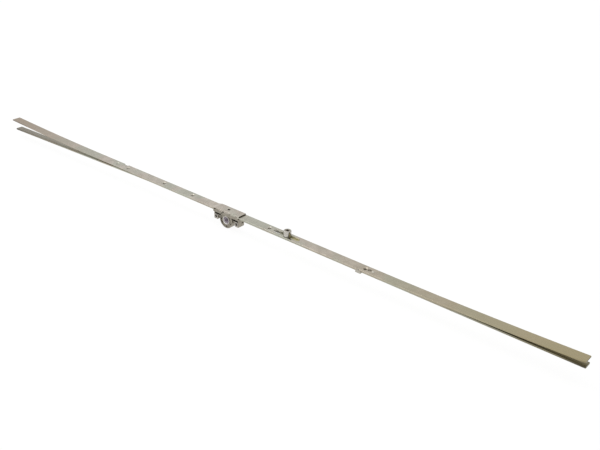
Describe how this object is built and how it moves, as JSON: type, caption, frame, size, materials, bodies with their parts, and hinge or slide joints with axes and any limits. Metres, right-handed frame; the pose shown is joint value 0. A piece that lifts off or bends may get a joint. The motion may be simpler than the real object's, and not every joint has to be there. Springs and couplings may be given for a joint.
{
  "type": "window espagnolette",
  "caption": "Window espagnolette: slim lapped faceplate, sliding drive rod beneath, square-spindle gearbox with two handle screw lugs and a round locking cam in a slot.",
  "frame": {"origin": "on the axis of the square spindle hole, at the middle of the gearbox's width", "axes": "+X along the faceplate towards the end with the locking cam, +Y across the strip away from the handle, +Z out of the sash edge through the faceplate"},
  "size_m": [1.134, 0.016, 0.0361],
  "materials": {
    "strip_steel": "warm silver-grey zinc plating, satin, with faint lengthwise rolling marks",
    "rod_steel": "slightly yellow passivated zinc plating, satin",
    "rivet_steel": "zinc-plated steel, smooth where it is riveted over",
    "clip_steel": "zinc-plated pressed steel, satin",
    "die_cast": "silver-grey coated zinc die casting, soft grain and a low sheen",
    "bush_steel": "bright plated tube with turned ends",
    "follower_steel": "sintered steel, darker and slightly violet, fine pores",
    "stem_steel": "turned and plated steel",
    "roller_steel": "bright nickel-plated turned roller"
  },
  "bodies": {
    "case": {"faceplate_left": "strip_steel", "faceplate_right": "strip_steel", "lap_rivets": "rivet_steel", "housing_near": "die_cast", "housing_far": "die_cast", "follower_bush_near": "bush_steel", "follower_bush_far": "bush_steel", "handle_screw_bush_left": "bush_steel", "handle_screw_bush_right": "bush_steel", "guide_bush_outer": "rivet_steel", "guide_bush_inner": "rivet_steel", "guide_bush_right": "rivet_steel", "guide_washer_outer": "rivet_steel", "guide_washer_inner": "rivet_steel", "guide_washer_right": "rivet_steel", "guide_rivet": "rivet_steel", "guide_rivet_washer": "rivet_steel", "rod_clip": "clip_steel"},
    "rod": {"drive_rod": "rod_steel", "cam_washer": "rod_steel"},
    "follower": {"follower_pinion": "follower_steel"},
    "cam_stem": {"cam_stem": "stem_steel"},
    "cam_roller": {"cam_roller": "roller_steel"}
  },
  "joints": [
    {"name": "rod_slide", "type": "slide", "parent": "case", "child": "rod", "axis": [1, 0, 0], "range_m": [-0.017, 0.017]},
    {"name": "follower_turn", "type": "hinge", "parent": "case", "child": "follower", "pos_m": [0, 0, 0], "axis": [0, 1, 0], "range_deg": [-90, 90]},
    {"name": "cam_adjust", "type": "hinge", "parent": "rod", "child": "cam_stem", "pos_m": [0.1183, 0, 0.01], "axis": [0, 0, 1], "range_deg": [-90, 90]},
    {"name": "cam_spin", "type": "hinge", "parent": "cam_stem", "child": "cam_roller", "pos_m": [0.1183, -0.0008, 0.018], "axis": [0, 0, 1], "continuous": true}
  ],
  "couplings": [
    {"joint": "follower_turn", "follows": "rod_slide", "rad_per_m": 92.4}
  ]
}
